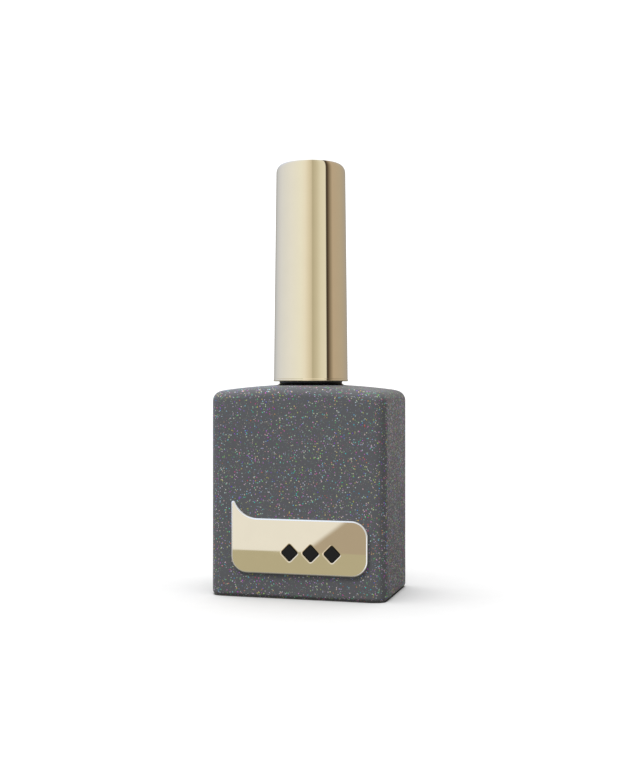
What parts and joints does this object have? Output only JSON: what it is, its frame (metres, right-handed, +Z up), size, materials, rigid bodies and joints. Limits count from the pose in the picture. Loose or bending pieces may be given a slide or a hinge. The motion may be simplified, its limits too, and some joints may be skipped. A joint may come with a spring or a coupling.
{
  "type": "nail polish bottle",
  "caption": "Flat rectangular glass polish bottle with a raised gold front plate and a tall gold screw cap that carries a flat brush.",
  "frame": {"origin": "under the neck's axis, on the surface the bottle stands on", "axes": "+Z up along the neck and brush, the label plate faces -Y, +X to the right seen from the front"},
  "size_m": [0.0324, 0.021, 0.0794],
  "materials": {
    "coated_glass": "matt dark grey lacquer coat with fine holographic flecks, over opaque black glass",
    "gel": "wet gloss",
    "blank_sticker": "plain matt film",
    "adhesive": "clear film",
    "gold_plate": "polished pale gold",
    "black_enamel": "gloss enamel",
    "metallised_gold": "mirror pale gold",
    "black_cap_plastic": "satin moulded",
    "weight_steel": "turned",
    "liner_foam": "closed-cell foam",
    "stem_plastic": "satin moulded",
    "nylon_bristle": "fine dark nylon",
    "staple_wire": "drawn"
  },
  "bodies": {
    "bottle": {"glass_bottle": "coated_glass", "gel_polish": "gel", "base_sticker": "blank_sticker", "plate_adhesive": "adhesive", "label_plate": "gold_plate", "mark_1": "black_enamel", "mark_2": "black_enamel", "mark_3": "black_enamel"},
    "lifted": {"sealing_liner": "liner_foam"},
    "risen": {"cap_weight": "weight_steel"},
    "cap": {"overcap": "metallised_gold", "inner_cap": "black_cap_plastic", "brush_stem": "stem_plastic", "bristle_tuft": "nylon_bristle", "tuft_staple": "staple_wire"}
  },
  "joints": [
    {"name": "brush_lift", "type": "slide", "parent": "bottle", "child": "lifted", "axis": [0, 0, 1], "range_m": [0, 0.05]},
    {"name": "cap_rise", "type": "slide", "parent": "lifted", "child": "risen", "axis": [0, 0, 1], "range_m": [0, 0.0045]},
    {"name": "cap_turn", "type": "hinge", "parent": "risen", "child": "cap", "pos_m": [0, 0, 0.044], "axis": [0, 0, 1], "range_deg": [0, 540]}
  ],
  "couplings": [
    {"joint": "cap_turn", "follows": "cap_rise", "rad_per_m": 2094.4}
  ]
}
